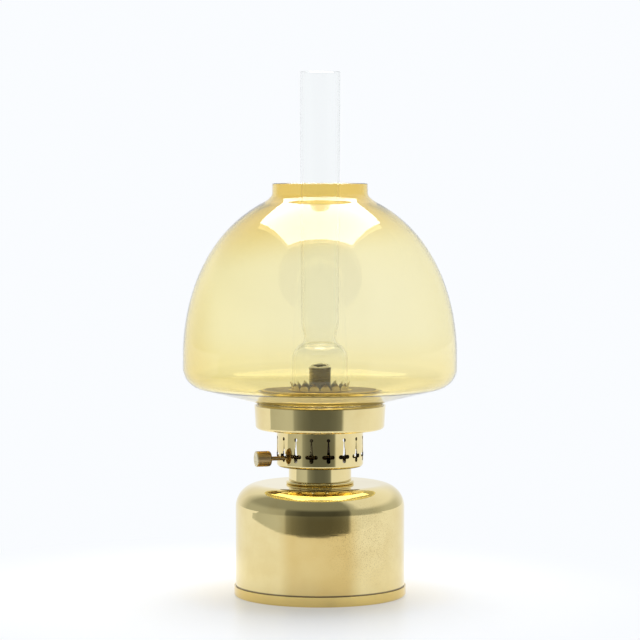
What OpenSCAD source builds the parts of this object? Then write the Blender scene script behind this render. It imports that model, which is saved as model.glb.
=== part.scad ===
// Kerosene table lamp with a brass tank, a round-wick burner, a clear chimney and an amber glass shade.
// Millimetres, +Z up. The origin is on the table, under the lamp's axis. The front faces -Y.

/* [Sheet and fits] */
// Thickness of the sheet of the pan, tank, shade ring and gallery
sheet_t = 0.8; // [0.6:0.1:1.2]
// Thickness of the burner's lighter sheet
burner_t = 0.6; // [0.4:0.1:0.8]
// Gap for solder or a press fit between two fixed pieces
solder_gap = 0.08; // [0.02:0.01:0.1]
// Radial gap of a turning shaft
running_gap = 0.05; // [0.02:0.01:0.1]
// Gap between loose pieces that only rest on each other
loose_gap = 0.3; // [0.25:0.05:0.5]

/* [Base pan] */
// Outer diameter of the pan
pan_d = 100.6; // [90:0.2:120]
// Height of the pan's upturned rim
pan_rim_h = 5.8; // [4:0.2:10]
// Radius of the pan's lower edge
pan_edge_r = 1.2; // [1:0.1:2]
// Width of the flat foot ring
foot_w = 8; // [6:0.5:14]
// Rise of the pan's middle above the foot ring
foot_rise = 2; // [1:0.5:3]

/* [Tank] */
// Height of the tank's flat top above the table
tank_h = 65.5; // [55:0.5:80]
// Radius of the tank's shoulder
shoulder_r = 13.5; // [8:0.5:18]

/* [Collar and thread] */
// Diameter at the root of the collar's thread
thread_d = 32.6; // [30:0.2:35]
// Wall of the collar outside the thread
collar_wall = 2; // [1.6:0.1:2.6]
// Height of the collar above the tank
collar_h = 9.6; // [9.6:0.2:14]
// Height of the bead at the collar's foot
bead_h = 2; // [1.4:0.1:2.6]
// How far the bead stands out of the collar
bead_out = 1.6; // [0.6:0.1:2]
// Thread pitch
thread_pitch = 2; // [1.8:0.1:2.4]
// Thread depth
thread_depth = 0.7; // [0.5:0.05:0.8]
// Turns of engaged thread
thread_turns = 3; // [2:1:3]
// Thickness of the gasket
gasket_t = 0.6; // [0.4:0.1:1]

/* [Air basket] */
// Outer diameter of the basket
basket_d = 50.6; // [48:0.2:56]
// Height of the basket
basket_h = 21.4; // [20:0.2:26]
// Radius of the basket's lower edge
basket_edge_r = 1.8; // [1.2:0.1:2.4]
// Number of cut-outs
slot_count = 16; // [12:2:18]
// Height of the cut-out above its lower lobe
slot_h = 12.2; // [10:0.2:13]
// Radius of the small hole at the top of a cut-out
slot_top_r = 1.05; // [0.8:0.05:1.2]
// Radius of the lower lobe
slot_lobe_r = 1.2; // [1:0.1:1.4]
// Half length of the crossbar of a cut-out
slot_bar_half = 3.7; // [2.4:0.1:3.9]
// Height of the crossbar of a cut-out
slot_bar_h = 2.4; // [1.6:0.1:2.6]
// Height of the crossbar above the lower lobe
slot_bar_rise = 2.4; // [2:0.1:3]
// Depth of the lower lobe below the spindle
slot_drop = 1; // [0.4:0.1:1.4]

/* [Burner deck] */
// Thickness of the deck
deck_t = 0.8; // [0.6:0.1:1.2]
// Outer diameter of the deck
deck_d = 40; // [37:0.5:44]
// Wall of the threaded skirt
skirt_wall = 1; // [0.8:0.1:1.4]
// Radius of the vent hole that lets air into the tank
vent_r = 0.8; // [0.5:0.1:1.2]

/* [Wick and tubes] */
// Outer diameter of the wick tube
wick_tube_d = 12.6; // [11.6:0.2:14]
// Wall of the wick tube
tube_wall = 0.5; // [0.4:0.1:0.7]
// Height of the wick tube's mouth above the gallery
wick_tube_rise = 16.6; // [12:0.2:20]
// How far the wick shows above its tube
wick_show = 1.5; // [0.5:0.1:3]
// Outer diameter of the inner draft tube
draft_tube_d = 5.8; // [5:0.2:6.4]
// Width of the draft port
port_w = 4.2; // [3.4:0.1:4.6]
// Height of the draft port
port_h = 9; // [6:0.5:10]
// Travel of the wick upward
wick_up = 6; // [3:0.5:8]
// Travel of the wick downward
wick_down = 10; // [6:0.5:12]

/* [Knob and spindle] */
// Diameter of the knob
knob_d = 9; // [7:0.2:11]
// Length of the knob
knob_l = 9; // [8:0.5:13]
// Distance of the knob's outer face along the spindle
knob_reach = 41; // [38:0.5:46]
// Diameter of the spindle
spindle_d = 2.4; // [2:0.1:2.6]
// Height of the spindle above the basket's underside
spindle_h = 5.9; // [4.8:0.1:6.4]
// Teeth of the wick wheel
wheel_teeth = 10; // [8:1:12]
// Outer radius of the wick wheel
wheel_r = 2.5; // [2.3:0.05:2.7]
// Depth of a tooth
tooth_depth = 0.8; // [0.7:0.05:0.9]
// How deep the teeth bite into the wick
wheel_bite = 0.6; // [0.4:0.05:0.7]
// Width of the wick wheel
wheel_w = 2.4; // [1.8:0.1:2.8]

/* [Shade ring and gallery] */
// Outer diameter of the shade ring at its top
ring_d = 76.8; // [72:0.2:84]
// Height of the shade ring
ring_h = 13.8; // [11:0.2:18]
// How much narrower the ring is at its foot, on the radius
ring_taper = 0.7; // [0.2:0.1:1.2]
// Radius of the ring's lower edge
ring_edge_r = 2; // [1.4:0.1:3]
// Thickness of the draft screen
screen_t = 0.5; // [0.4:0.1:0.8]
// Outer diameter of the spigot that centres the shade
spigot_d = 70; // [64:0.5:70.5]
// Height of the spigot above the ring
spigot_rise = 5.3; // [5:0.1:10]
// Radius of the spigot's upper edge
spigot_edge_r = 1.3; // [1.2:0.1:2.4]
// Height of the ledge above the ring's rim
ledge_rise = 1.2; // [0.4:0.1:2]
// Radius of the ledge's outer edge
ledge_edge_r = 1.3; // [1.3:0.1:1.8]
// Radius of a rivet's shank
rivet_r = 0.9; // [0.7:0.05:1]

/* [Crown] */
// Number of prongs
prong_count = 16; // [10:2:18]
// Height of the prongs above the gallery
prong_h = 7.4; // [5:0.2:10]
// How far the tips are bent outward
prong_flare = 1; // [0.4:0.1:1.6]
// Thickness of the prongs
prong_t = 0.4; // [0.3:0.05:0.5]

/* [Chimney] */
// Length of the chimney
chimney_l = 188.8; // [170:0.2:220]
// Diameter of the bulge
bulge_d = 32.2; // [30:0.2:34]
// Height of the bulge's straight wall
bulge_h = 21.8; // [16:0.2:28]
// Diameter of the pinch
pinch_d = 18.8; // [17:0.2:20]
// Diameter just above the pinch
stem_d = 21.8; // [20.4:0.2:23]
// Diameter at the mouth
mouth_d = 23.4; // [22:0.2:26]
// Thickness of the chimney's glass
chimney_t = 1.2; // [1:0.1:1.5]

/* [Shade] */
// Largest diameter of the shade
shade_d = 160; // [140:1:180]
// Height of the shade from its rim to the top of its collar
shade_h = 128; // [115:0.5:150]
// Outer diameter of the collar
neck_d = 55.6; // [50:0.2:62]
// Height of the collar's straight part
neck_h = 5.5; // [4:0.5:9]
// Radius of the shade's lower corner
shade_corner_r = 12.5; // [9:0.5:16]
// Slope of the underside, in degrees
under_angle = 14; // [12:0.5:20]
// Thickness of the shade's glass
shade_t = 2; // [1.6:0.1:2.6]

/* [Hidden] */
$fn = 96;

// Heights, from the table up
collar_top = tank_h + collar_h;
basket_z = collar_top + gasket_t;
deck_z = basket_z + burner_t;
deck_top = deck_z + deck_t;
spindle_z = basket_z + spindle_h;
basket_top = basket_z + basket_h;
ring_z = basket_top + screen_t;
ring_top = ring_z + ring_h;
ledge_z = ring_top + ledge_rise;
gallery_z = ring_top + spigot_rise;
chimney_z = gallery_z + loose_gap;
wick_tube_top = gallery_z + wick_tube_rise;
wick_top = wick_tube_top + wick_show;
rim_z = ledge_z + loose_gap;

// Radii of the tank and collar
pan_r = pan_d / 2;
tank_r = pan_r - sheet_t - solder_gap;
root_r = thread_d / 2;
collar_r = root_r + collar_wall;
collar_spigot_r = collar_r - 0.8;
male_crest_r = root_r - loose_gap;
male_root_r = male_crest_r - thread_depth;
skirt_r = male_root_r - skirt_wall;
ridge_turns = thread_turns - 0.4;
thread_z = collar_top - 1.2 - thread_turns * thread_pitch;
skirt_z = thread_z - 1;

// Radii of the burner
basket_r = basket_d / 2;
lip_r = basket_r - 5;
rivet_ring_r = basket_r - burner_t - 1.9;
tube_r = wick_tube_d / 2;
tube_bore_r = tube_r - tube_wall;
draft_r = draft_tube_d / 2;
wick_r = tube_bore_r - loose_gap;
wick_bore_r = draft_r + loose_gap;
tube_foot_z = deck_z - 7;
port_z = spindle_z - 2;
wick_foot_z = foot_rise + sheet_t + wick_down + 3;
wick_split_z = tube_foot_z - wick_up - 3;

// Spindle, beside the wick tube on the front. It leaves through a lobe of the basket.
spindle_r = spindle_d / 2;
spindle_off = wick_r - wheel_bite + wheel_r;
slot_step = 360 / slot_count;
exit_slot = floor(56.25 / slot_step + 0.01);
exit_angle = (exit_slot + 0.5) * slot_step;
spindle_lean = 90 - exit_angle - asin(spindle_off / (basket_r - burner_t / 2));
tooth_pitch = 2 * PI * (wheel_r - tooth_depth * 3 / 8) / wheel_teeth;
ear_in = 3.2;
ear_out = ear_in + 0.8;
window_half = 2.3;

// Ring, gallery and crown
ring_r = ring_d / 2;
ring_foot_r = ring_r - ring_taper;
plate_skirt_h = 3.5;
plate_drop = plate_skirt_h - ledge_rise;
plate_r = ring_r - sheet_t - ring_taper * plate_drop / (ring_h - ring_edge_r) - solder_gap;
spigot_r = spigot_d / 2;
bulge_r = bulge_d / 2;
crown_r = bulge_r + loose_gap + 0.05;
gallery_hole_r = bulge_r - chimney_t - 1;

// Shade
shade_r = shade_d / 2;
neck_r = neck_d / 2;
rim_r = spigot_r + 1;

// Two-dimensional cup with a rounded lower corner, standing on y = 0
module cup(foot_r, top_r, h, edge_r) {
    square([foot_r - edge_r, h]);
    polygon([[0, edge_r], [foot_r, edge_r], [top_r, h], [0, h]]);
    translate([foot_r - edge_r, edge_r]) circle(edge_r);
}

// Only the side of the axis that is turned into a solid
module right_half() {
    intersection() {
        children();
        translate([0, -500]) square([500, 1000]);
    }
}

// Places its children along the spindle: local +Z runs outward to the knob
module on_spindle(s) {
    rotate([0, 0, -90 - (90 - spindle_lean)])
        translate([s, spindle_off, spindle_z])
            rotate([0, 90, 0])
                children();
}

// Cuts on the side of the wick tube that faces the spindle
module facing_spindle() {
    rotate([0, 0, -90 - (90 - spindle_lean)]) children();
}

// Ridge of a right-hand thread: section corners [radius, height] swept along the helix
module ridge(section, turns, z) {
    steps = 36;
    n = round(turns * steps);
    count = len(section);
    points = [
        for (i = [0:n], p = section)
            [
                p[0] * cos(360 * i / steps),
                p[0] * sin(360 * i / steps),
                z + p[1] + thread_pitch * i / steps,
            ]
    ];
    sides = [
        for (i = [0:n - 1], j = [0:count - 1])
            let (
                a = i * count + j,
                b = i * count + (j + 1) % count,
                c = b + count,
                d = a + count
            )
                each [[a, d, c], [a, c, b]]
    ];
    first = [for (j = [0:count - 1]) j];
    last = [for (j = [count - 1:-1:0]) n * count + j];
    polyhedron(points, concat(sides, [first, last]), convexity = 8);
}

// Outward side of a path, as unit vectors at each of its points
function along(p, i) = p[min(i + 1, len(p) - 1)] - p[max(i - 1, 0)];
function inward(p, i) = [-along(p, i)[1], along(p, i)[0]] / norm(along(p, i));
function inset(p, t) = [for (i = [0:len(p) - 1]) p[i] + t * inward(p, i)];
function backward(p) = [for (i = [len(p) - 1:-1:0]) p[i]];
function wall_of(p, t) = concat(p, backward(inset(p, t)));

// Points of curves
function arc(c, r, a0, a1, n) = [
    for (i = [0:n]) c + r * [cos(a0 + (a1 - a0) * i / n), sin(a0 + (a1 - a0) * i / n)]
];
function cubic(a, b, c, d, n) = [
    for (i = [0:n])
        let (t = i / n, u = 1 - t)
            u * u * u * a + 3 * u * u * t * b + 3 * u * t * t * c + t * t * t * d
];
function quadratic(a, b, c, n) = [
    for (i = [1:n]) let (t = i / n, u = 1 - t) u * u * a + 2 * u * t * b + t * t * c
];

module base_pan() {
    inner_r = pan_r - foot_w;
    color("goldenrod")
        rotate_extrude()
            right_half() {
                difference() {
                    cup(pan_r, pan_r, pan_rim_h, pan_edge_r);
                    translate([0, sheet_t])
                        cup(pan_r - sheet_t, pan_r - sheet_t, pan_rim_h, pan_edge_r - sheet_t);
                    translate([0, -1]) square([inner_r, foot_rise + 1]);
                }
                translate([inner_r - sheet_t, 0]) square([sheet_t, foot_rise + sheet_t]);
                translate([0, foot_rise]) square([inner_r, sheet_t]);
            }
}

module tank_shell() {
    h = tank_h - sheet_t;
    color("gold")
        rotate_extrude()
            right_half()
                translate([0, tank_h])
                    mirror([0, 1])
                        difference() {
                            cup(tank_r, tank_r, h, shoulder_r);
                            translate([0, sheet_t])
                                cup(tank_r - sheet_t, tank_r - sheet_t, h, shoulder_r - sheet_t);
                            translate([0, -1]) square([collar_spigot_r + solder_gap, sheet_t + 2]);
                        }
}

module filler_collar() {
    foot_z = tank_h - sheet_t - 2.5;
    female_r = root_r - thread_depth;
    color("goldenrod") {
        rotate_extrude()
            difference() {
                union() {
                    translate([root_r, tank_h]) square([collar_wall, collar_h]);
                    translate([root_r, foot_z])
                        square([collar_spigot_r - root_r, tank_h - foot_z + 0.1]);
                    translate([root_r, tank_h]) square([collar_wall + bead_out - bead_h / 2, bead_h]);
                    translate([collar_r + bead_out - bead_h / 2, tank_h + bead_h / 2])
                        circle(bead_h / 2);
                }
                translate([root_r - 1, collar_top - 0.5])
                    polygon([[0.9, 0], [1.6, 0.6], [0.9, 0.6]]);
            }
        ridge(
            [[root_r + 0.3, 0.65], [root_r + 0.3, -0.65], [female_r, -0.2], [female_r, 0.2]],
            ridge_turns, thread_z
        );
    }
}

module collar_gasket() {
    color("sienna")
        translate([0, 0, collar_top])
            difference() {
                cylinder(h = gasket_t, r = collar_r - 0.4);
                translate([0, 0, -1]) cylinder(h = gasket_t + 2, r = root_r + 0.4);
            }
}

module burner_deck() {
    ridge_foot_r = male_root_r - 0.3;
    color("goldenrod") {
        difference() {
            union() {
                translate([0, 0, deck_z]) cylinder(h = deck_t, r = deck_d / 2);
                translate([0, 0, collar_top]) cylinder(h = deck_z - collar_top + 0.2, r = male_crest_r);
                translate([0, 0, skirt_z]) cylinder(h = deck_z - skirt_z + 0.2, r = male_root_r);
            }
            translate([0, 0, skirt_z - 1]) cylinder(h = deck_z - skirt_z + 1, r = skirt_r);
            translate([0, 0, deck_z - 1]) cylinder(h = deck_t + 2, r = tube_r + solder_gap);
            rotate([0, 0, 90]) translate([(tube_r + skirt_r) / 2, 0, deck_z - 1])
                cylinder(h = deck_t + 2, r = vent_r);
        }
        ridge(
            [[ridge_foot_r, -0.65], [ridge_foot_r, 0.65], [male_crest_r, 0.2], [male_crest_r, -0.2]],
            ridge_turns, thread_z + thread_pitch / 2
        );
    }
}

// Outline of one cut-out of the basket, about the middle of its lower lobe
module slot_outline() {
    circle(slot_lobe_r);
    translate([-slot_lobe_r, 0]) square([2 * slot_lobe_r, slot_bar_rise]);
    translate([-slot_bar_half + slot_bar_h / 2, slot_bar_rise - slot_bar_h / 2])
        square([2 * slot_bar_half - slot_bar_h, slot_bar_h]);
    for (side = [-1, 1])
        translate([side * (slot_bar_half - slot_bar_h / 2), slot_bar_rise]) circle(slot_bar_h / 2);
    polygon([[-1, slot_bar_rise], [1, slot_bar_rise], [0.35, slot_h], [-0.35, slot_h]]);
    translate([0, slot_h]) circle(slot_top_r);
}

module air_basket() {
    inner_r = basket_r - burner_t;
    color("gold")
        difference() {
            translate([0, 0, basket_z])
                rotate_extrude()
                    right_half() {
                        difference() {
                            cup(basket_r, basket_r, basket_h, basket_edge_r);
                            translate([0, burner_t])
                                cup(inner_r, inner_r, basket_h, basket_edge_r - burner_t);
                            translate([0, -1]) square([male_crest_r + 0.1, burner_t + 2]);
                        }
                        translate([lip_r, basket_h - burner_t]) square([basket_r - lip_r, burner_t]);
                    }
            for (i = [0:slot_count - 1])
                rotate([0, 0, (i + 0.5) * slot_step])
                    translate([0, -basket_r + burner_t + 1, spindle_z - slot_drop])
                        rotate([90, 0, 0])
                            linear_extrude(burner_t + 2) slot_outline();
            on_spindle(basket_r - 6) cylinder(h = 12, r = spindle_r + loose_gap);
            rivet_holes();
        }
}

module at_rivets() {
    for (i = [0:3]) rotate([0, 0, 45 + i * 90]) translate([rivet_ring_r, 0, 0]) children();
}

module rivet_holes() {
    at_rivets()
        translate([0, 0, basket_top - 3]) cylinder(h = 8, r = rivet_r + solder_gap, $fn = 24);
}

module ring_rivets() {
    grip = burner_t + screen_t + sheet_t;
    color("peru")
        at_rivets()
            translate([0, 0, basket_top - burner_t]) {
                translate([0, 0, -0.6]) cylinder(h = grip + 1.2, r = rivet_r, $fn = 24);
                translate([0, 0, -0.6]) cylinder(h = 0.6, r = rivet_r + 0.7, $fn = 24);
                translate([0, 0, grip]) cylinder(h = 0.6, r = rivet_r + 0.7, $fn = 24);
            }
}

module wick_tube() {
    color("darkgoldenrod")
        difference() {
            union() {
                translate([0, 0, tube_foot_z]) cylinder(h = wick_tube_top - tube_foot_z, r = tube_r);
                translate([0, 0, deck_z - 1.2]) cylinder(h = 1.2, r = tube_r + 1);
                translate([0, 0, wick_tube_top - 1]) cylinder(h = 1, r = tube_r + 0.2);
            }
            translate([0, 0, tube_foot_z - 1])
                cylinder(h = wick_tube_top - tube_foot_z + 2, r = tube_bore_r);
            facing_spindle()
                translate([-window_half, 0, spindle_z - wheel_r - 0.4])
                    cube([2 * window_half, tube_r + 2, 2 * wheel_r + 0.8]);
            facing_spindle()
                translate([-port_w / 2 - solder_gap, -tube_r - 2, port_z - solder_gap])
                    cube([port_w + 2 * solder_gap, tube_r + 2, port_h + 2 * solder_gap]);
        }
}

module draft_tube() {
    bore_r = draft_r - tube_wall;
    top = wick_tube_top - 1;
    color("darkgoldenrod")
        difference() {
            union() {
                translate([0, 0, port_z]) cylinder(h = top - port_z, r = draft_r);
                facing_spindle()
                    translate([-port_w / 2, -tube_r, port_z]) cube([port_w, tube_r, port_h]);
            }
            translate([0, 0, port_z + tube_wall]) cylinder(h = top - port_z, r = bore_r);
            facing_spindle()
                translate([-port_w / 2 + tube_wall, -tube_r - 1, port_z + tube_wall])
                    cube([port_w - 2 * tube_wall, tube_r + 1, port_h - 2 * tube_wall]);
        }
}

module wick() {
    slot_half = port_w / 2 + loose_gap;
    slot_top = port_z + port_h + wick_down + 1;
    dents = ceil((wick_up + wick_down + 3) / tooth_pitch);
    low = ceil((wick_up + 1.5) / tooth_pitch);
    dent = wheel_bite + 0.25;
    color("ivory")
        difference() {
            translate([0, 0, wick_foot_z]) cylinder(h = wick_top - wick_foot_z, r = wick_r);
            translate([0, 0, wick_foot_z - 1])
                cylinder(h = wick_top - wick_foot_z + 2, r = wick_bore_r);
            facing_spindle()
                translate([-slot_half, -wick_r - 1, wick_foot_z - 1])
                    cube([2 * slot_half, wick_r + 1, slot_top - wick_foot_z + 1]);
            facing_spindle()
                translate([-1, 0, wick_foot_z - 1]) cube([2, wick_r + 1, wick_split_z - wick_foot_z + 1]);
            for (i = [-low:dents - low])
                facing_spindle()
                    translate([-wick_r, wick_r, spindle_z + i * tooth_pitch])
                        rotate([0, 90, 0])
                            linear_extrude(2 * wick_r)
                                polygon([[-0.62, 0.5], [0.62, 0.5], [0.3, -dent], [-0.3, -dent]]);
        }
}

module knob() {
    edge = 1.6;
    seat = 6;
    color("peru")
        on_spindle(knob_reach - knob_l)
            rotate_extrude()
                difference() {
                    right_half() {
                        translate([0, knob_l])
                            mirror([0, 1])
                                cup(knob_d / 2, knob_d / 2, knob_l - edge, 0.4);
                        cup(knob_d / 2, knob_d / 2, knob_l / 2, edge);
                    }
                    translate([-1, -1]) square([spindle_r + solder_gap + 1, seat + 1]);
                }
}

module spindle() {
    tail = -ear_out - loose_gap - 1.2;
    color("goldenrod")
        on_spindle(tail) cylinder(h = knob_reach - knob_l + 6 - solder_gap - tail, r = spindle_r);
}

module wick_wheel() {
    step = 360 / wheel_teeth;
    root = wheel_r - tooth_depth;
    function at(r, half, a) = [r * cos(a) - half * sin(a), r * sin(a) + half * cos(a)];
    color("darkgoldenrod")
        on_spindle(-wheel_w / 2)
            rotate([0, 0, 90])
                linear_extrude(wheel_w)
                    difference() {
                        polygon([
                            for (i = [0:wheel_teeth - 1])
                                for (p = [[root, -0.4], [wheel_r, -0.15], [wheel_r, 0.15], [root, 0.4]])
                                    at(p[0], p[1], i * step)
                        ]);
                        circle(spindle_r + solder_gap);
                    }
}

module spindle_bracket() {
    back = 5.6;
    front = spindle_off + 2.4;
    seat = tube_r + 0.5;
    color("goldenrod")
        difference() {
            facing_spindle() {
                for (x = [-ear_out, ear_in])
                    translate([x, back, deck_top])
                        cube([ear_out - ear_in, front - back, spindle_z + 2.2 - deck_top]);
                translate([-ear_out, seat, deck_top]) cube([2 * ear_out, front - seat, 0.6]);
            }
            on_spindle(-ear_out - 1) cylinder(h = 2 * ear_out + 2, r = spindle_r + running_gap);
        }
}

module spindle_rings() {
    color("peru")
        for (s = [-ear_out - loose_gap - 0.8, ear_out + loose_gap])
            on_spindle(s)
                difference() {
                    cylinder(h = 0.8, r = spindle_r + 0.9, $fn = 48);
                    translate([0, 0, -1]) cylinder(h = 3, r = spindle_r + solder_gap, $fn = 48);
                }
}

module draft_screen() {
    inner = tube_r + solder_gap;
    first_r = inner + (lip_r - inner) * 0.3;
    second_r = inner + (lip_r - inner) * 0.72;
    color("goldenrod")
        difference() {
            translate([0, 0, basket_top]) cylinder(h = screen_t, r = basket_r);
            translate([0, 0, basket_top - 1]) cylinder(h = screen_t + 2, r = inner);
            for (i = [0:11])
                rotate([0, 0, i * 30]) translate([first_r, 0, basket_top - 1])
                    cylinder(h = screen_t + 2, r = 1.5, $fn = 24);
            for (i = [0:19])
                rotate([0, 0, i * 18]) translate([second_r, 0, basket_top - 1])
                    cylinder(h = screen_t + 2, r = 1.7, $fn = 24);
            rivet_holes();
        }
}

module shade_ring() {
    color("gold")
        difference() {
            translate([0, 0, ring_z])
                rotate_extrude()
                    right_half()
                        difference() {
                            cup(ring_foot_r, ring_r, ring_h, ring_edge_r);
                            translate([0, sheet_t])
                                cup(ring_foot_r - sheet_t, ring_r - sheet_t, ring_h, ring_edge_r - sheet_t);
                            translate([0, -1]) square([lip_r, sheet_t + 2]);
                            translate([0, ring_h]) square([2 * ring_r, sheet_t + 1]);
                        }
            rivet_holes();
        }
}

module gallery_plate() {
    spigot_h = gallery_z - ledge_z + sheet_t;
    spigot_bore_r = spigot_r - sheet_t;
    plate_bore_r = plate_r - sheet_t;
    color("goldenrod")
        rotate_extrude()
            right_half() {
                translate([0, gallery_z])
                    mirror([0, 1])
                        difference() {
                            cup(spigot_r, spigot_r, spigot_h, spigot_edge_r);
                            translate([0, sheet_t])
                                cup(spigot_bore_r, spigot_bore_r, spigot_h, spigot_edge_r - sheet_t);
                            translate([0, -1]) square([gallery_hole_r, sheet_t + 2]);
                        }
                translate([0, ledge_z])
                    mirror([0, 1])
                        difference() {
                            cup(plate_r, plate_r, plate_skirt_h, ledge_edge_r);
                            translate([0, sheet_t])
                                cup(plate_bore_r, plate_bore_r, plate_skirt_h, ledge_edge_r - sheet_t);
                            translate([0, -1]) square([spigot_bore_r, sheet_t + 2]);
                        }
            }
}

module chimney_crown() {
    pitch_w = 2 * PI * crown_r / prong_count;
    half = 0.45 * pitch_w;
    color("gold") {
        translate([0, 0, gallery_z])
            rotate_extrude() translate([crown_r, 0]) square([2.2, prong_t]);
        intersection() {
            translate([0, 0, gallery_z])
                rotate_extrude()
                    polygon([
                        [crown_r, 0],
                        [crown_r + prong_t, 0],
                        [crown_r + prong_t, prong_h * 0.62],
                        [crown_r + prong_t + prong_flare, prong_h],
                        [crown_r + prong_flare, prong_h],
                        [crown_r, prong_h * 0.62 + 0.1],
                    ]);
            for (i = [0:prong_count - 1])
                rotate([0, 0, (i + 0.5) * 360 / prong_count])
                    translate([0, -crown_r + 4, gallery_z])
                        rotate([90, 0, 0])
                            linear_extrude(8)
                                polygon([
                                    [-half, 0],
                                    [half, 0],
                                    [half, prong_h * 0.34],
                                    [half * 0.76, prong_h * 0.56],
                                    [half * 0.4, prong_h * 0.76],
                                    [0, prong_h],
                                    [-half * 0.4, prong_h * 0.76],
                                    [-half * 0.76, prong_h * 0.56],
                                    [-half, prong_h * 0.34],
                                ]);
        }
    }
}

module chimney() {
    pinch_r = pinch_d / 2;
    stem_r = stem_d / 2;
    mouth_r = mouth_d / 2;
    outer_bend = 9;
    inner_bend = 3.5;
    turn = acos(1 - (bulge_r - pinch_r) / (outer_bend + inner_bend));
    shoulder_z = chimney_z + bulge_h;
    pinch_z = shoulder_z + (outer_bend + inner_bend) * sin(turn);
    flare_l = 10;
    outer = concat(
        [[bulge_r, chimney_z]],
        arc([bulge_r - outer_bend, shoulder_z], outer_bend, 0, turn, 10),
        backward(arc([pinch_r + inner_bend, pinch_z], inner_bend, 180, 180 + turn - turn / 8, 8)),
        [
            for (i = [1:8])
                [pinch_r + (stem_r - pinch_r) * (1 - cos(180 * i / 8)) / 2, pinch_z + flare_l * i / 8]
        ],
        [[mouth_r, chimney_z + chimney_l]]
    );
    color([0.9, 0.95, 1, 0.35]) rotate_extrude() polygon(wall_of(outer, chimney_t));
}

module shade() {
    corner_r = shade_r - shade_corner_r;
    corner_z = rim_z + (corner_r + shade_corner_r * sin(under_angle) - rim_r) * tan(under_angle)
        + shade_corner_r * cos(under_angle);
    top_z = rim_z + shade_h;
    foot = [shade_r, corner_z + 0.07 * (top_z - corner_z)];
    head = [neck_r + 5.2, top_z - neck_h - 5.6];
    rise = head[1] - foot[1];
    lean = [head[0] + 0.9 * (shade_r - head[0]), head[1] - 0.252 * rise];
    belly = [shade_r, foot[1] + 0.192 * rise];
    slope = (head[1] - lean[1]) / (lean[0] - head[0]);
    throat = [neck_r, head[1] + (head[0] - neck_r) * slope];
    outer = concat(
        [[rim_r, rim_z]],
        arc([corner_r, corner_z], shade_corner_r, under_angle - 90, 0, 14),
        cubic(foot, belly, lean, head, 30),
        quadratic(head, throat, [neck_r, top_z - neck_h], 6),
        [[neck_r, top_z]]
    );
    color([0.95, 0.75, 0.2, 0.4]) rotate_extrude() polygon(wall_of(outer, shade_t));
}

base_pan();
tank_shell();
filler_collar();
collar_gasket();
burner_deck();
air_basket();
wick_tube();
draft_tube();
wick();
knob();
spindle();
wick_wheel();
spindle_bracket();
spindle_rings();
draft_screen();
ring_rivets();
shade_ring();
gallery_plate();
chimney_crown();
chimney();
shade();
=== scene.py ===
import math

import bmesh
import bpy
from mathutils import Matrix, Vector


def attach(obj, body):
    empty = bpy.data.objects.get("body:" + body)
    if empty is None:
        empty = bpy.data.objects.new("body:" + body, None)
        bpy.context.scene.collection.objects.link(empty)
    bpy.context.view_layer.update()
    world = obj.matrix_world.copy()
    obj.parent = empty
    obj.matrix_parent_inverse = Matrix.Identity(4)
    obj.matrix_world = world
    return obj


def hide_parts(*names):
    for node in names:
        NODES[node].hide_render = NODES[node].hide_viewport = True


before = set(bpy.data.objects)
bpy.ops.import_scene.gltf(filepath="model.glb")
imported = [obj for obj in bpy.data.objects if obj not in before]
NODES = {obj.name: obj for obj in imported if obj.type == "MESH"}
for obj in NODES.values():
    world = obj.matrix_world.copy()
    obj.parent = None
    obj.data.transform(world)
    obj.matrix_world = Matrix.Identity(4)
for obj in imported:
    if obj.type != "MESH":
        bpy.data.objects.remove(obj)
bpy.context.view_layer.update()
scene = bpy.context.scene
scene.view_settings.view_transform = "Standard"

MM = 0.001
X, Y, Z = range(3)

# Camera, at the photograph's viewing angle
CAMERA_Y = -1.58
CAMERA_Z = 0.250
AIM_Z = 0.1611
FOCAL_PX = 2712
IMAGE_PX = 640
SENSOR_MM = 36.0
CLIP_END = 50

camera = bpy.data.objects.new("camera", bpy.data.cameras.new("camera"))
scene.collection.objects.link(camera)
camera.data.sensor_width = SENSOR_MM
camera.data.lens = SENSOR_MM * FOCAL_PX / IMAGE_PX
camera.data.clip_end = CLIP_END
camera.location = (0, CAMERA_Y, CAMERA_Z)
camera.rotation_euler = (Vector((0, 0, AIM_Z)) - camera.location).to_track_quat("-Z", "Y").to_euler()
scene.camera = camera


# Node helpers

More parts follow.
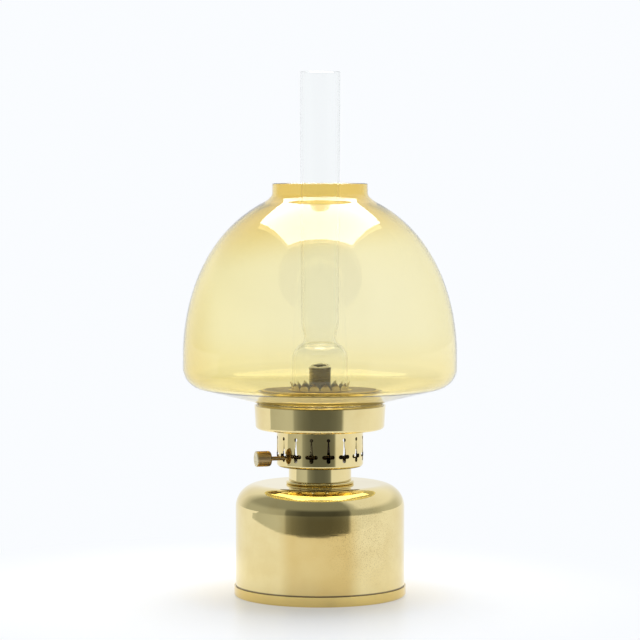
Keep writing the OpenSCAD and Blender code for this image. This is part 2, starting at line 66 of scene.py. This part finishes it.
class Tree:
    """A node tree under construction, with short calls for the nodes that the materials share."""

    def __init__(self, tree):
        self.tree = tree
        self.nodes = tree.nodes
        self.coords = None

    def add(self, kind, **values):
        node = self.nodes.new(kind)
        for name, value in values.items():
            setattr(node, name, value)
        return node

    def set(self, node, socket, value):
        """Link the socket where the value is another node's output, and otherwise set it."""
        if isinstance(value, bpy.types.NodeSocket):
            self.tree.links.new(value, node.inputs[socket])
        else:
            node.inputs[socket].default_value = value

    def place(self):
        """The point on the surface, in metres in the lamp's frame."""
        if self.coords is None:
            self.coords = self.add("ShaderNodeTexCoord").outputs["Object"]
        return self.coords

    def axis(self, index):
        node = self.add("ShaderNodeSeparateXYZ")
        self.set(node, 0, self.place())
        return node.outputs[index]

    def stretch(self, scale):
        node = self.add("ShaderNodeMapping")
        self.set(node, "Vector", self.place())
        self.set(node, "Scale", scale)
        return node.outputs[0]

    def math(self, op, a, b=None, c=None):
        node = self.add("ShaderNodeMath", operation=op)
        for i, value in enumerate((a, b, c)):
            if value is not None:
                self.set(node, i, value)
        return node.outputs[0]

    def times(self, first, *others):
        for other in others:
            first = self.math("MULTIPLY", first, other)
        return first

    def measure(self, op, a, b=None):
        """A vector operation that gives one number."""
        node = self.add("ShaderNodeVectorMath", operation=op)
        self.set(node, 0, a)
        if b is not None:
            self.set(node, 1, b)
        return node.outputs["Value"]

    def from_axis(self):
        return self.measure("LENGTH", self.stretch((1, 1, 0)))

    def from_point(self, point):
        return self.measure("DISTANCE", self.place(), point)

    def noise(self, scale, detail=3.0, rough=0.55, at=None):
        node = self.add("ShaderNodeTexNoise")
        self.set(node, "Vector", self.place() if at is None else at)
        self.set(node, "Scale", scale)
        self.set(node, "Detail", detail)
        self.set(node, "Roughness", rough)
        return node.outputs["Fac"]

    def cells(self, scale):
        node = self.add("ShaderNodeTexVoronoi")
        self.set(node, "Vector", self.place())
        self.set(node, "Scale", scale)
        return node.outputs["Distance"]

    def span(self, value, low, high, to_low=0.0, to_high=1.0, smooth=True):
        """The value, taken from low..high to to_low..to_high and held at both ends."""
        node = self.add("ShaderNodeMapRange", interpolation_type="SMOOTHSTEP" if smooth else "LINEAR")
        for i, v in enumerate((value, low, high, to_low, to_high)):
            self.set(node, i, v)
        return node.outputs[0]

    def mix(self, factor, a, b, blend="MIX"):
        node = self.add("ShaderNodeMix", data_type="RGBA", blend_type=blend)
        for socket, value in ((0, factor), (6, a), (7, b)):
            self.set(node, socket, value)
        return node.outputs[2]

    def bump(self, height, strength, distance, normal=None):
        node = self.add("ShaderNodeBump")
        self.set(node, "Height", height)
        self.set(node, "Strength", strength)
        self.set(node, "Distance", distance)
        if normal is not None:
            self.set(node, "Normal", normal)
        return node.outputs[0]


def rgb(r, g, b):
    return (r, g, b, 1.0)


def new_material(name):
    material = bpy.data.materials.new(name)
    material.use_nodes = True
    tree = Tree(material.node_tree)
    shader = material.node_tree.nodes["Principled BSDF"]
    return material, tree, shader


# Stage: a white sweep, a softbox overhead and the room that the polished brass mirrors

WHITE = (0.955, 0.975, 1.0)
# Tint of the room where it is darkest
GLOOM = (0.93, 1.0, 0.90)
# Brightness of the room by the angle round the lamp: 0 is towards the camera, and + is to the right.
# One list for the part below the horizon, one for just above it and one for the upper walls.
ROOM_LOW = [
    (-180, 0.97), (-135, 0.95), (-112, 0.72), (-95, 0.56), (-60, 0.62), (-50, 0.60),
    (-46, 0.34), (-38, 0.24), (-28, 0.18), (-15, 0.135), (15, 0.135), (28, 0.17),
    (38, 0.24), (40, 0.38), (44, 0.90), (90, 0.98), (180, 0.97),
]
ROOM_MID = [
    (-180, 1.0), (-142, 0.95), (-118, 0.50), (-95, 0.50), (-60, 0.46), (-50, 0.42),
    (-46, 0.18), (-25, 0.085), (20, 0.075), (40, 0.13), (44, 0.42), (75, 0.46),
    (100, 0.60), (130, 0.64), (150, 0.85), (180, 0.97),
]
ROOM_HIGH = [
    (-180, 1.0), (-142, 0.90), (-115, 0.36), (0, 0.26), (40, 0.28), (60, 0.90),
    (150, 1.0), (180, 1.0),
]
CEILING = 0.34
OVER_BACKDROP = 0.58
# Light that the object gets from all round
FILL = 0.34
# Angles above the horizon over which one part passes into the next
LOW_TO_MID = (-5, 0)
MID_TO_HIGH = (12, 28)
HIGH_TO_CEILING = (55, 75)
BACKDROP_EDGE = (14, 26)

FLOOR_PALE = rgb(0.70, 0.70, 0.70)
FLOOR_SPECK = rgb(0.72, 0.72, 0.725)
FLOOR_PAINTED_BOUNCE = rgb(0.70, 0.63, 0.48)
FLOOR_GRAIN_SCALE = 900
FLOOR_ROUGHNESS = 0.30
FLOOR_IOR = 1.60
WARM_FROM, WARM_TO = 0.05, 0.095
SHADOW_MIDDLE = (-0.032, 0, 0)
SHADOW_FROM, SHADOW_TO = 0.05, 0.25
GLOW_IN_SHADOW = 0.38
# The floor is round in front, as the brass mirrors it, and wide behind
FRONT_RADIUS = 0.41
FRONT_MIDDLE = (0.01, 0.07)
FRONT_STEPS = 48
FLOOR_FAR = 6.0

SOFTBOX_COLOR = rgb(1.0, 0.995, 0.98)
SOFTBOX_Z = 1.18
SOFTBOX_HALF = [(0.44, -0.28), (0.69, 0.68), (0.50, 0.86), (0.30, 1.15)]
SOFTBOX_STRENGTH = 7.0
SOFTBOX_ADDED_IN_GLOSS = 2.5
SOFTBOX_LOST_THROUGH_GLASS = 6.5


def stage_mesh(name, points, faces, material):
    mesh = bpy.data.meshes.new(name)
    mesh.from_pydata(points, [], faces)
    mesh.materials.append(material)
    obj = bpy.data.objects.new(name, mesh)
    scene.collection.objects.link(obj)
    return obj


def tinted(level):
    return rgb(*(level * (g + (w - g) * level) for g, w in zip(GLOOM, WHITE)))


def room_ramp(tree, factor, stops):
    node = tree.add("ShaderNodeValToRGB")
    tree.set(node, 0, factor)
    steps = node.color_ramp.elements
    while len(steps) < len(stops):
        steps.new(0.5)
    # The ramp sorts its steps as they are placed, so their colours come after
    for step, (angle, _) in zip(steps, stops):
        step.position = angle / 360 + 0.5
    for step, (_, level) in zip(steps, stops):
        step.color = tinted(level)
    return node.outputs[0]


def build_world():
    world = bpy.data.worlds.new("studio")
    scene.world = world
    world.use_nodes = True
    tree = Tree(world.node_tree)
    way = tree.add("ShaderNodeSeparateXYZ")
    tree.set(way, 0, tree.add("ShaderNodeTexCoord").outputs["Generated"])
    turn = tree.math("ARCTAN2", way.outputs[X], tree.times(way.outputs[Y], -1.0))
    around = tree.math("MULTIPLY_ADD", turn, 1 / math.tau, 0.5)
    rise = tree.times(tree.math("ARCSINE", way.outputs[Z]), 180 / math.pi)
    room = room_ramp(tree, around, ROOM_LOW)
    room = tree.mix(tree.span(rise, *LOW_TO_MID), room, room_ramp(tree, around, ROOM_MID))
    room = tree.mix(tree.span(rise, *MID_TO_HIGH), room, room_ramp(tree, around, ROOM_HIGH))
    room = tree.mix(tree.span(rise, *HIGH_TO_CEILING), room, tinted(CEILING))
    path = tree.add("ShaderNodeLightPath")
    light = tree.mix(path.outputs["Is Glossy Ray"], rgb(*(FILL * c for c in WHITE)), room)
    # Through the glass the white backdrop shows all round, up to its top edge
    beyond = tree.mix(tree.span(rise, *BACKDROP_EDGE), rgb(*WHITE), tinted(OVER_BACKDROP))
    light = tree.mix(path.outputs["Is Transmission Ray"], light, beyond)
    light = tree.mix(path.outputs["Is Camera Ray"], light, rgb(*WHITE))
    tree.set(world.node_tree.nodes["Background"], "Color", light)


def build_floor():
    material, tree, shader = new_material("stage_floor")
    grain = tree.mix(tree.noise(FLOOR_GRAIN_SCALE, detail=2), FLOOR_PALE, FLOOR_SPECK)
    # Painted light: the floor round the foot is tinted warm, standing in for the warm light that the brass
    # throws on it
    beyond_foot = tree.span(tree.from_axis(), WARM_FROM, WARM_TO)
    tree.set(shader, "Base Color", tree.mix(beyond_foot, FLOOR_PAINTED_BOUNCE, grain))
    tree.set(shader, "Roughness", FLOOR_ROUGHNESS)
    tree.set(shader, "IOR", FLOOR_IOR)
    # Far from the object the floor is the same white as the backdrop
    glow = tree.add("ShaderNodeEmission")
    tree.set(glow, "Color", rgb(*WHITE))
    mixed = tree.add("ShaderNodeMixShader")
    tree.set(mixed, 0, tree.span(tree.from_point(SHADOW_MIDDLE), SHADOW_FROM, SHADOW_TO, GLOW_IN_SHADOW, 1.0))
    tree.set(mixed, 1, shader.outputs[0])
    tree.set(mixed, 2, glow.outputs[0])
    tree.set(material.node_tree.nodes["Material Output"], "Surface", mixed.outputs[0])
    points = []
    for i in range(FRONT_STEPS + 1):
        a = math.pi * (1 + i / FRONT_STEPS)
        x = FRONT_MIDDLE[X] + FRONT_RADIUS * math.cos(a)
        y = FRONT_MIDDLE[Y] + FRONT_RADIUS * math.sin(a)
        points.append((x, y, 0))
    corners = [(1, FRONT_MIDDLE[Y]), (1, FLOOR_FAR), (-1, FLOOR_FAR), (-1, FRONT_MIDDLE[Y])]
    points += [(side * FLOOR_FAR, y, 0) for side, y in corners]
    stage_mesh("floor", points, [tuple(range(len(points)))], material)


def build_softbox():
    material, tree, _ = new_material("stage_softbox")
    glow = tree.add("ShaderNodeEmission")
    tree.set(glow, "Color", SOFTBOX_COLOR)
    # The diffuser is dimmer where it is seen through the shade, and still lights what the glass covers
    path = tree.add("ShaderNodeLightPath")
    seen = tree.math("MULTIPLY_ADD", path.outputs["Is Glossy Ray"], SOFTBOX_ADDED_IN_GLOSS, SOFTBOX_STRENGTH)
    straight = tree.math("LESS_THAN", path.outputs["Diffuse Depth"], 0.5)
    through = tree.times(path.outputs["Is Transmission Ray"], straight)
    tree.set(glow, "Strength", tree.math("MULTIPLY_ADD", through, -SOFTBOX_LOST_THROUGH_GLASS, seen))
    tree.set(material.node_tree.nodes["Material Output"], "Surface", glow.outputs[0])
    points = [(x, y, SOFTBOX_Z) for x, y in SOFTBOX_HALF]
    points += [(-x, y, SOFTBOX_Z) for x, y in reversed(SOFTBOX_HALF)]
    obj = stage_mesh("softbox", points, [tuple(reversed(range(len(points))))], material)
    obj.visible_camera = False


build_world()
build_floor()
build_softbox()


# Materials, with lengths in metres in the lamp's frame

BRASS = rgb(0.86, 0.72, 0.37)
BRASS_DEEP = rgb(0.70, 0.52, 0.20)
OLIVE = rgb(0.60, 0.50, 0.24)
OLIVE_DEEP = rgb(0.40, 0.31, 0.12)
TARNISH = rgb(0.42, 0.28, 0.11)
OLD_POLISH = rgb(0.10, 0.07, 0.06)
SOOT = rgb(0.09, 0.062, 0.035)
PAINTED_HOLE_SHADE = rgb(0.03, 0.02, 0.015)
CLEAR_TINT = rgb(1, 1, 1)


def brass(name, color, deep, rough, wear=0.35, age=None):
    """Polished brass: colour drift, fine hand-polish scratches, tarnish specks and the node's own age, which
    on the tube takes in a painted reflection.
    """
    scratches, specks_show = (90, 90, 1400), 0.35
    material, tree, shader = new_material(name)
    shader.inputs["Metallic"].default_value = 1.0
    drift = tree.span(tree.noise(38, detail=4), 0.42, 0.72)
    base = tree.mix(tree.times(drift, wear), color, deep)
    specks = tree.span(tree.noise(2600, detail=2, rough=0.7), 0.70, 0.78)
    patches = tree.span(tree.noise(60), 0.50, 0.66)
    base = tree.mix(tree.times(specks, patches, specks_show), base, TARNISH)
    rubbed = tree.noise(1.0, rough=0.6, at=tree.stretch(scratches))
    roughness = tree.span(rubbed, 0.25, 0.75, rough * 0.7, rough * 1.4)
    if age is not None:
        base, roughness = age(tree, base, roughness)
    tree.set(shader, "Base Color", base)
    tree.set(shader, "Roughness", roughness)
    waves = tree.bump(tree.noise(55, detail=1), strength=0.10, distance=0.0002)
    tree.set(shader, "Normal", tree.bump(rubbed, strength=0.04, distance=0.00003, normal=waves))
    return material


def stained(tree, base, roughness, where, color, added):
    """The colour laid over the base, and roughness added, by the share that where gives."""
    return tree.mix(where, base, color), tree.math("ADD", roughness, tree.times(where, added))


def tank_age(tree, base, roughness):
    """A deeper gold over the front below the shoulder, spots of tarnish on the right, and old polish in the
    joint with the pan.
    """
    spots_at, joint_z = (0.026, -0.042, 0.036), 0.0062
    front = tree.span(tree.axis(Y), -0.0475, -0.0425, 0.95, 0.0)
    cloud = tree.span(tree.noise(30), 0.2, 0.7, 0.6, 1.0)
    below_shoulder = tree.span(tree.axis(Z), 0.058, 0.048, 0.0, 1.0)
    front_gold = tree.times(front, cloud, below_shoulder)
    base, roughness = stained(tree, base, roughness, front_gold, rgb(0.70, 0.51, 0.19), 0.004)
    near_spots = tree.span(tree.from_point(spots_at), 0.006, 0.034, 1.0, 0.0)
    dots = tree.span(tree.noise(1500, rough=0.65), 0.50, 0.66)
    haze = tree.span(tree.noise(120, detail=4), 0.36, 0.70)
    spots = tree.math("MULTIPLY_ADD", dots, 0.44, tree.times(haze, 0.10))
    base, roughness = stained(tree, base, roughness, tree.times(near_spots, spots), TARNISH, 0.16)
    from_joint = tree.math("ABSOLUTE", tree.math("SUBTRACT", tree.axis(Z), joint_z))
    line = tree.times(tree.span(from_joint, 0.0001, 0.0006, 1.0, 0.0), 0.85)
    return stained(tree, base, roughness, line, OLD_POLISH, 0.3)


def gallery_age(tree, base, roughness):
    """Heat has browned the flat top of the gallery."""
    flat = tree.span(tree.axis(Z), 0.1161, 0.1165)
    inside = tree.span(tree.from_axis(), 0.0325, 0.0340, 1.0, 0.0)
    cloud = tree.span(tree.noise(150, detail=4), 0.25, 0.75, 0.78, 0.98)
    where = tree.times(flat, inside, cloud)
    return stained(tree, base, roughness, where, rgb(0.11, 0.06, 0.045), 0.25)


def tube_browning_and_painted_reflection(tree, base, roughness):
    """Browned by heat and oil; the left side is kept lighter, a painted reflection."""
    cloud = tree.span(tree.noise(240, detail=4), 0.30, 0.66, 0.90, 1.0)
    # Painted reflection: the stain is halved at the far left, so that side reads lighter gold
    left = tree.span(tree.axis(X), -0.0058, -0.0036, 0.50, 1.0)
    return stained(tree, base, roughness, tree.times(cloud, left), rgb(0.04, 0.022, 0.012), 0.06)


def basket_age(tree, base, roughness):
    """Unpolished and sooty inside."""
    inside = tree.span(tree.from_axis(), 0.02475, 0.02485, 0.9, 0.0)
    return stained(tree, base, roughness, inside, SOOT, 0.30)


def knob_age(tree, base, roughness):
    """Lacquer rubbed off the end face."""
    outwards = (-0.95866, -0.28456, 0.0)
    end = tree.span(tree.measure("DOT_PRODUCT", tree.place(), outwards), 0.0400, 0.0408, 0.0, 0.9)
    return stained(tree, base, roughness, end, rgb(0.86, 0.78, 0.55), 0.10)


def amber_depth_and_painted_shade(tree, base):
    """Uneven colour: it gathers in the lower bend and where the collar is drawn in, and the left side is
    tinted deeper as painted shade.
    """
    # Painted shade: the left side is tinted deeper, and the far left deeper still
    left = tree.span(tree.axis(X), -0.06, 0.06, smooth=False)
    far_left = tree.span(tree.axis(X), -0.082, -0.058)
    side = tree.mix(left, rgb(1.0, 0.99, 0.925), CLEAR_TINT)
    side = tree.mix(far_left, rgb(0.945, 0.89, 0.70), side)
    base = tree.mix(1.0, base, side, "MULTIPLY")
    low = tree.mix(tree.span(tree.axis(Z), 0.124, 0.158), rgb(0.99, 0.955, 0.82), CLEAR_TINT)
    base = tree.mix(1.0, base, low, "MULTIPLY")
    # The collar's colour reaches further down on the left
    drawn = tree.math("MULTIPLY_ADD", tree.axis(X), -0.15, tree.axis(Z))
    return tree.mix(tree.span(drawn, 0.195, 0.236), base, rgb(0.93, 0.83, 0.58))


def glass(name, ior, absorb, density, rough, age=None):
    mould_waves = (26, 26, 11)
    material, tree, shader = new_material(name)
    shader.inputs["Transmission Weight"].default_value = 1.0
    shader.inputs["IOR"].default_value = ior
    film = tree.span(tree.noise(60), 0.35, 0.75, rough * 0.6, rough * 1.6)
    tree.set(shader, "Roughness", film)
    clear = tree.mix(tree.noise(14, detail=2), CLEAR_TINT, rgb(0.985, 0.99, 0.985))
    tree.set(shader, "Base Color", clear if age is None else age(tree, clear))
    # Slow waves left by the mould
    waves = tree.noise(1.0, detail=2, rough=0.5, at=tree.stretch(mould_waves))
    tree.set(shader, "Normal", tree.bump(waves, strength=0.12, distance=0.0006))
    volume = tree.add("ShaderNodeVolumeAbsorption")
    tree.set(volume, "Color", absorb)
    tree.set(volume, "Density", density)
    tree.set(material.node_tree.nodes["Material Output"], "Volume", volume.outputs[0])
    return material


def leather(name):
    material, tree, shader = new_material(name)
    grain = tree.cells(1400)
    tree.set(shader, "Base Color", tree.mix(grain, rgb(0.16, 0.09, 0.05), rgb(0.26, 0.16, 0.09)))
    shader.inputs["Roughness"].default_value = 0.8
    tree.set(shader, "Normal", tree.bump(grain, strength=0.3, distance=0.0001))
    return material


def cotton(name):
    fibre_scale = (1800, 1800, 500)
    material, tree, shader = new_material(name)
    fibres = tree.noise(1.0, rough=0.6, at=tree.stretch(fibre_scale))
    clean = tree.mix(fibres, rgb(0.90, 0.85, 0.70), rgb(0.97, 0.94, 0.84))
    # Faintly singed at the very end
    near_end = tree.span(tree.axis(Z), 0.1335, 0.1375)
    blotches = tree.span(tree.noise(420), 0.45, 0.70)
    base = tree.mix(tree.times(near_end, blotches, 0.3), clean, rgb(0.22, 0.15, 0.09))
    # Painted shade inside, round the air hole, below the rim
    hole = tree.span(tree.from_axis(), 0.0035, 0.0041, 1.0, 0.0)
    below_rim = tree.span(tree.axis(Z), 0.1345, 0.1351, 1.0, 0.0)
    tree.set(shader, "Base Color", tree.mix(tree.times(hole, below_rim), base, PAINTED_HOLE_SHADE))
    shader.inputs["Roughness"].default_value = 0.95
    shader.inputs["Sheen Weight"].default_value = 0.3
    tree.set(shader, "Normal", tree.bump(fibres, strength=0.5, distance=0.0002))
    return material


POLISHED = brass("brass_polished", BRASS, BRASS_DEEP, 0.032)
PAN = brass("brass_pan", rgb(0.82, 0.63, 0.24), BRASS_DEEP, 0.05, wear=0.5)
TANK = brass("brass_tank", BRASS, BRASS_DEEP, 0.022, age=tank_age)
GALLERY = brass("brass_gallery", rgb(0.64, 0.50, 0.22), OLIVE_DEEP, 0.12, age=gallery_age)
CROWN = brass("brass_crown", rgb(0.84, 0.74, 0.45), rgb(0.60, 0.49, 0.25), 0.40, wear=0.6)
TUBE = brass("brass_tube", OLIVE, OLIVE_DEEP, 0.22, wear=0.7, age=tube_browning_and_painted_reflection)
BASKET = brass("brass_basket", BRASS, BRASS_DEEP, 0.032, age=basket_age)
DULL = brass("brass_dull", rgb(0.42, 0.31, 0.15), rgb(0.26, 0.18, 0.08), 0.28, wear=0.7)
KNOB = brass("brass_knob", rgb(0.50, 0.36, 0.18), rgb(0.38, 0.25, 0.11), 0.42, wear=0.5, age=knob_age)
CLEAR = glass("glass_clear", 1.47, rgb(0.55, 0.80, 0.72), 9.0, 0.004)
AMBER = glass("glass_amber", 1.50, rgb(0.988, 0.892, 0.38), 262.0, 0.006, amber_depth_and_painted_shade)
LEATHER = leather("leather")
COTTON = cotton("wick_cotton")

LOOKS = {
    "tank_shell": TANK, "base_pan": PAN, "filler_collar": POLISHED, "shade_ring": POLISHED,
    "air_basket": BASKET, "gallery_plate": GALLERY, "burner_deck": DULL, "collar_gasket": LEATHER,
    "wick_tube": TUBE, "draft_tube": DULL, "draft_screen": DULL, "spindle_bracket": DULL,
    "spindle_rings": DULL, "ring_rivets": DULL, "wick_wheel": DULL, "chimney_crown": CROWN,
    "knob": KNOB, "spindle": DULL, "wick": COTTON, "chimney": CLEAR, "shade": AMBER,
}
for node, look in LOOKS.items():
    for held in NODES[node].material_slots:
        held.material = look


# Pieces that stand for a CAD node, in millimetres as the drawing has them

# Height of a fused rim, as a share of half the wall
RIM_ROUND = 0.45


def piece(name, points, faces, material, slot, body, node):
    mesh = bpy.data.meshes.new(name)
    mesh.from_pydata([(x * MM, y * MM, z * MM) for x, y, z in points], [], faces)
    mesh.materials.append(material)
    for face in mesh.polygons:
        face.use_smooth = True
    obj = bpy.data.objects.new(name, mesh)
    scene.collection.objects.link(obj)
    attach(obj, body)
    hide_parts(node)
    return obj


def arc(center, radius, start, end, steps):
    turns = [math.radians(start + (end - start) * i / steps) for i in range(steps + 1)]
    return [(center[0] + radius * math.cos(a), center[1] + radius * math.sin(a)) for a in turns]


def between(a, b, share):
    return (a[0] + (b[0] - a[0]) * share, a[1] + (b[1] - a[1]) * share)


def bezier(*points, steps):
    """A Bezier curve of any degree through its first and last point."""
    line = []
    for i in range(steps + 1):
        row = list(points)
        while len(row) > 1:
            row = [between(a, b, i / steps) for a, b in zip(row, row[1:])]
        line.append(row[0])
    return line


def fine(line, step=2.5, lip=0.25):
    """The line with points at most a step apart and one close to each end, so that it shades smoothly."""
    done = [line[0]]
    for i, (a, b) in enumerate(zip(line, line[1:])):
        size = math.dist(a, b)
        count = math.ceil(size / step)
        stops = [n * size / count for n in range(1, count + 1)]
        if i == 0:
            stops.insert(0, lip)
        if i == len(line) - 2:
            stops.insert(-1, size - lip)
        done += [between(a, b, stop / size) for stop in stops]
    return done


def rim(a, b, way, steps=8):
    """The points of a round edge from a to b that stands out along way."""
    middle = between(a, b, 0.5)
    half = ((a[0] - b[0]) / 2, (a[1] - b[1]) / 2)
    rise = math.hypot(*half) * RIM_ROUND
    line = []
    for i in range(1, steps):
        t = math.pi * i / steps
        line.append(tuple(middle[n] + half[n] * math.cos(t) + way[n] * rise * math.sin(t) for n in (0, 1)))
    return line


def blown(outer, wall):
    """The closed section of a blown wall: its outer line, an inner line set in by wall(z), and round rims."""
    same_point = 1e-4
    line = fine([p for i, p in enumerate(outer) if i == 0 or math.dist(p, outer[i - 1]) > same_point])
    ways, inner = [], []
    for i, (r, z) in enumerate(line):
        a, b = line[max(i - 1, 0)], line[min(i + 1, len(line) - 1)]
        size = math.dist(a, b)
        ways.append(((b[0] - a[0]) / size, (b[1] - a[1]) / size))
        inner.append((r - ways[i][1] * wall(z), z + ways[i][0] * wall(z)))
    top = rim(line[-1], inner[-1], ways[-1])
    foot = rim(inner[0], line[0], tuple(-c for c in ways[0]))
    return line + top + inner[::-1] + foot


def turned(name, section, sides, *looks):
    count = len(section)
    points, faces = [], []
    for i in range(sides):
        a = math.tau * i / sides
        points += [(r * math.cos(a), r * math.sin(a), z) for r, z in section]
        j = (i + 1) % sides
        for k in range(count):
            m = (k + 1) % count
            faces.append((i * count + k, j * count + k, j * count + m, i * count + m))
    return piece(name, points, faces, *looks)


def build_shade():
    """The shade's drawn outline, with the thicker glass that blowing leaves at the collar."""
    radius, height, corner, under = 80.0, 128.0, 12.5, 14.0
    rim_r, rim_z, rim_edge, lip = 36.0, 112.9, 1.0, 0.6
    neck_r, neck_h, flare_r, flare_h = 27.8, 5.5, 5.2, 5.6
    # Shares that shape the dome, as in the drawing
    upright, lean_out, lean_down, belly_up = 0.07, 0.9, 0.252, 0.192
    thin_wall, added_wall, thin_to_z = 1.5, 0.9, 170
    slope = math.radians(under)
    corner_r = radius - corner
    corner_z = rim_z + (corner_r + corner * math.sin(slope) - rim_r) * math.tan(slope)
    corner_z += corner * math.cos(slope)
    top_z = rim_z + height
    foot = (radius, corner_z + upright * (top_z - corner_z))
    head = (neck_r + flare_r, top_z - neck_h - flare_h)
    rise = head[1] - foot[1]
    shoulder = (head[0] + lean_out * (radius - head[0]), head[1] - lean_down * rise)
    belly = (radius, foot[1] + belly_up * rise)
    steep = (head[1] - shoulder[1]) / (shoulder[0] - head[0])
    throat = (neck_r, head[1] + (head[0] - neck_r) * steep)
    start = (rim_r + rim_edge * math.cos(slope), rim_z + rim_edge * math.sin(slope))
    bend = arc((corner_r, corner_z), corner, under - 90, 0, 24)

    def wall(z):
        share = min(max((z - thin_to_z) / (head[1] - thin_to_z), 0.0), 1.0)
        return thin_wall + added_wall * share ** 3

    outer = bezier(start, bend[0], steps=10) + bend
    outer += bezier(foot, belly, shoulder, head, steps=64)
    outer += bezier(head, throat, (neck_r, top_z - neck_h), steps=12)
    outer.append((neck_r, top_z - lip))
    turned("shade_wall", blown(outer, wall), 160, AMBER, "amber_glass", "shade_glass", "shade")


def build_chimney():
    foot_z, length, wall = 117.0, 188.8, 1.2
    bulge_r, bulge_h, pinch_r, stem_r, mouth_r = 16.1, 21.8, 9.4, 10.9, 11.7
    outer_bend, inner_bend = 9.0, 3.5
    swell_h, swell_steps = 10, 16
    turn = math.degrees(math.acos(1 - (bulge_r - pinch_r) / (outer_bend + inner_bend)))
    shoulder_z = foot_z + bulge_h
    pinch_z = shoulder_z + (outer_bend + inner_bend) * math.sin(math.radians(turn))
    line = [(bulge_r, foot_z + wall / 2), (bulge_r, foot_z + bulge_h / 2)]
    line += arc((bulge_r - outer_bend, shoulder_z), outer_bend, 0, turn, 14)
    line += arc((pinch_r + inner_bend, pinch_z), inner_bend, 180 + turn, 180, 10)
    for i in range(1, swell_steps + 1):
        swell = (1 - math.cos(math.pi * i / swell_steps)) / 2
        line.append((pinch_r + (stem_r - pinch_r) * swell, pinch_z + swell_h * i / swell_steps))
    line.append((mouth_r, foot_z + length - wall / 2))
    section = blown(line, lambda z: wall)
    turned("chimney_wall", section, 96, CLEAR, "clear_glass", "chimney_glass", "chimney")


def build_wick():
    """A woven cotton tape bent to a tube: cut away at the draft port, slit below, pressed by the wheel."""
    foot, top, outer_r, inner_r, edge = 15.8, 134.8, 5.38, 3.3, 0.9
    columns, rows = 72, 400
    step = 360 / columns
    # The draft port's direction in degrees, and the cut-away and the slit by angle from it and top
    port, port_half, port_top = 106.5, 50, 99.6
    slit_from, slit_top = 160, 58.0
    wheel_z, press_depth, press_half, press_h = 81.6, 0.75, 26, 16
    weave_depth, weave_size = 0.12, 6
    end_h, slant, slant_to = 4.3, 0.75, 75
    # Ragged end: waves round the tube, where they start and their height
    ragged = [(5, 1, 0.16), (11, 0, 0.12)]

    def from_port(i):
        return abs((i * step + 180) % 360 - 180)

    def cut(i, k):
        z, away = foot + (top - foot) * (k + 0.5) / rows, from_port(i + 0.5)
        in_port = away < port_half and z < port_top
        in_slit = away > slit_from and z < slit_top
        return k < 0 or k >= rows or in_port or in_slit

    points = []
    for k in range(rows + 1):
        z = foot + (top - foot) * k / rows
        down = min(max((top - z) / edge, 0.0), 1.0)
        pull = edge * (1 - math.sqrt(1 - (1 - down) ** 2))
        near_wheel = max(0.0, 1 - ((z - wheel_z) / press_h) ** 4)
        near_top = min(max((z - top + end_h) / end_h, 0.0), 1.0)
        for i in range(columns):
            a = math.radians(port + i * step)
            weave = weave_depth * math.sin(math.tau * i / weave_size) * math.sin(math.tau * k / weave_size)
            press = press_depth * max(0.0, 1 - ((180 - from_port(i)) / press_half) ** 2) * near_wheel
            lift = slant * math.cos(a - math.radians(slant_to))
            lift += sum(height * math.sin(count * a + shift) for count, shift, height in ragged)
            for r in (outer_r + weave - press - pull, inner_r + pull):
                points.append((r * math.cos(a), r * math.sin(a), z + lift * near_top ** 2))

    def at(i, k, side):
        return 2 * (k * columns + i % columns) + side

    faces = []
    for k in range(rows):
        for i in range(columns):
            if cut(i, k):
                continue
            faces.append((at(i, k, 0), at(i + 1, k, 0), at(i + 1, k + 1, 0), at(i, k + 1, 0)))
            faces.append((at(i, k, 1), at(i, k + 1, 1), at(i + 1, k + 1, 1), at(i + 1, k, 1)))
            if cut(i - 1, k):
                faces.append((at(i, k, 0), at(i, k + 1, 0), at(i, k + 1, 1), at(i, k, 1)))
            if cut(i + 1, k):
                faces.append((at(i + 1, k, 0), at(i + 1, k, 1), at(i + 1, k + 1, 1), at(i + 1, k + 1, 0)))
            if cut(i, k - 1):
                faces.append((at(i, k, 0), at(i, k, 1), at(i + 1, k, 1), at(i + 1, k, 0)))
            if cut(i, k + 1):
                faces.append((at(i, k + 1, 0), at(i + 1, k + 1, 0), at(i + 1, k + 1, 1), at(i, k + 1, 1)))
    obj = piece("wick_weave", points, faces, COTTON, "cotton", "wick_sleeve", "wick")
    # The points where the wall is cut away belong to no face
    kit = bmesh.new()
    kit.from_mesh(obj.data)
    bmesh.ops.delete(kit, geom=[v for v in kit.verts if not v.link_faces], context="VERTS")
    kit.to_mesh(obj.data)
    kit.free()


build_shade()
build_chimney()
build_wick()
